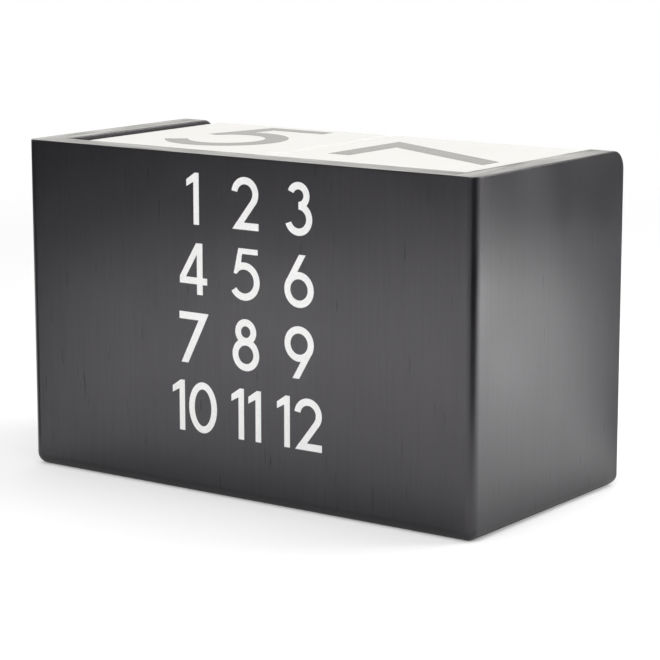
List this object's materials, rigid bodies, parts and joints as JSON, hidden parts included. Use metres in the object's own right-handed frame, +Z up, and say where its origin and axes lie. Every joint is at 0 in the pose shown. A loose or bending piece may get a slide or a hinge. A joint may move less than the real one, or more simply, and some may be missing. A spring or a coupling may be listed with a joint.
{
  "type": "desk calendar",
  "caption": "Perpetual block calendar: an open-fronted black wooden case that holds white number cubes on a row of white month bars.",
  "frame": {"origin": "on the table under the middle of the case: the centre of the bounding box at its lowest height", "axes": "+X along the case from left to right as seen from its open front, +Y from the open front towards the back panel, +Z up"},
  "size_m": [0.14, 0.0706, 0.088],
  "materials": {
    "black_paint": "satin black paint over fine-grained wood",
    "white_paint": "satin white paint over wood",
    "dowel_wood": "bare beech",
    "black_ink": "screen-printed black ink",
    "white_ink": "screen-printed white ink"
  },
  "bodies": {
    "case": {"back_panel": "black_paint", "base_panel": "black_paint", "left_end_panel": "black_paint", "right_end_panel": "black_paint", "back_dowels": "dowel_wood", "base_dowels": "dowel_wood"},
    "tens_cube": {"tens_cube": "white_paint"},
    "units_cube": {"units_cube": "white_paint"},
    "rear_month_bar": {"rear_month_bar": "white_paint"},
    "middle_month_bar": {"middle_month_bar": "white_paint"},
    "front_month_bar": {"front_month_bar": "white_paint"}
  },
  "joints": [
    {"name": "tens_cube_lift", "type": "slide", "parent": "case", "child": "tens_cube", "axis": [0, 0, 1], "range_m": [0, 0.065]},
    {"name": "units_cube_lift", "type": "slide", "parent": "case", "child": "units_cube", "axis": [0, 0, 1], "range_m": [0, 0.065]},
    {"name": "rear_bar_slide", "type": "slide", "parent": "case", "child": "rear_month_bar", "axis": [0, -1, 0], "range_m": [0, 0.07]},
    {"name": "middle_bar_slide", "type": "slide", "parent": "rear_month_bar", "child": "middle_month_bar", "axis": [0, -1, 0], "range_m": [0, 0.05]},
    {"name": "front_bar_slide", "type": "slide", "parent": "middle_month_bar", "child": "front_month_bar", "axis": [0, -1, 0], "range_m": [0, 0.03]}
  ]
}
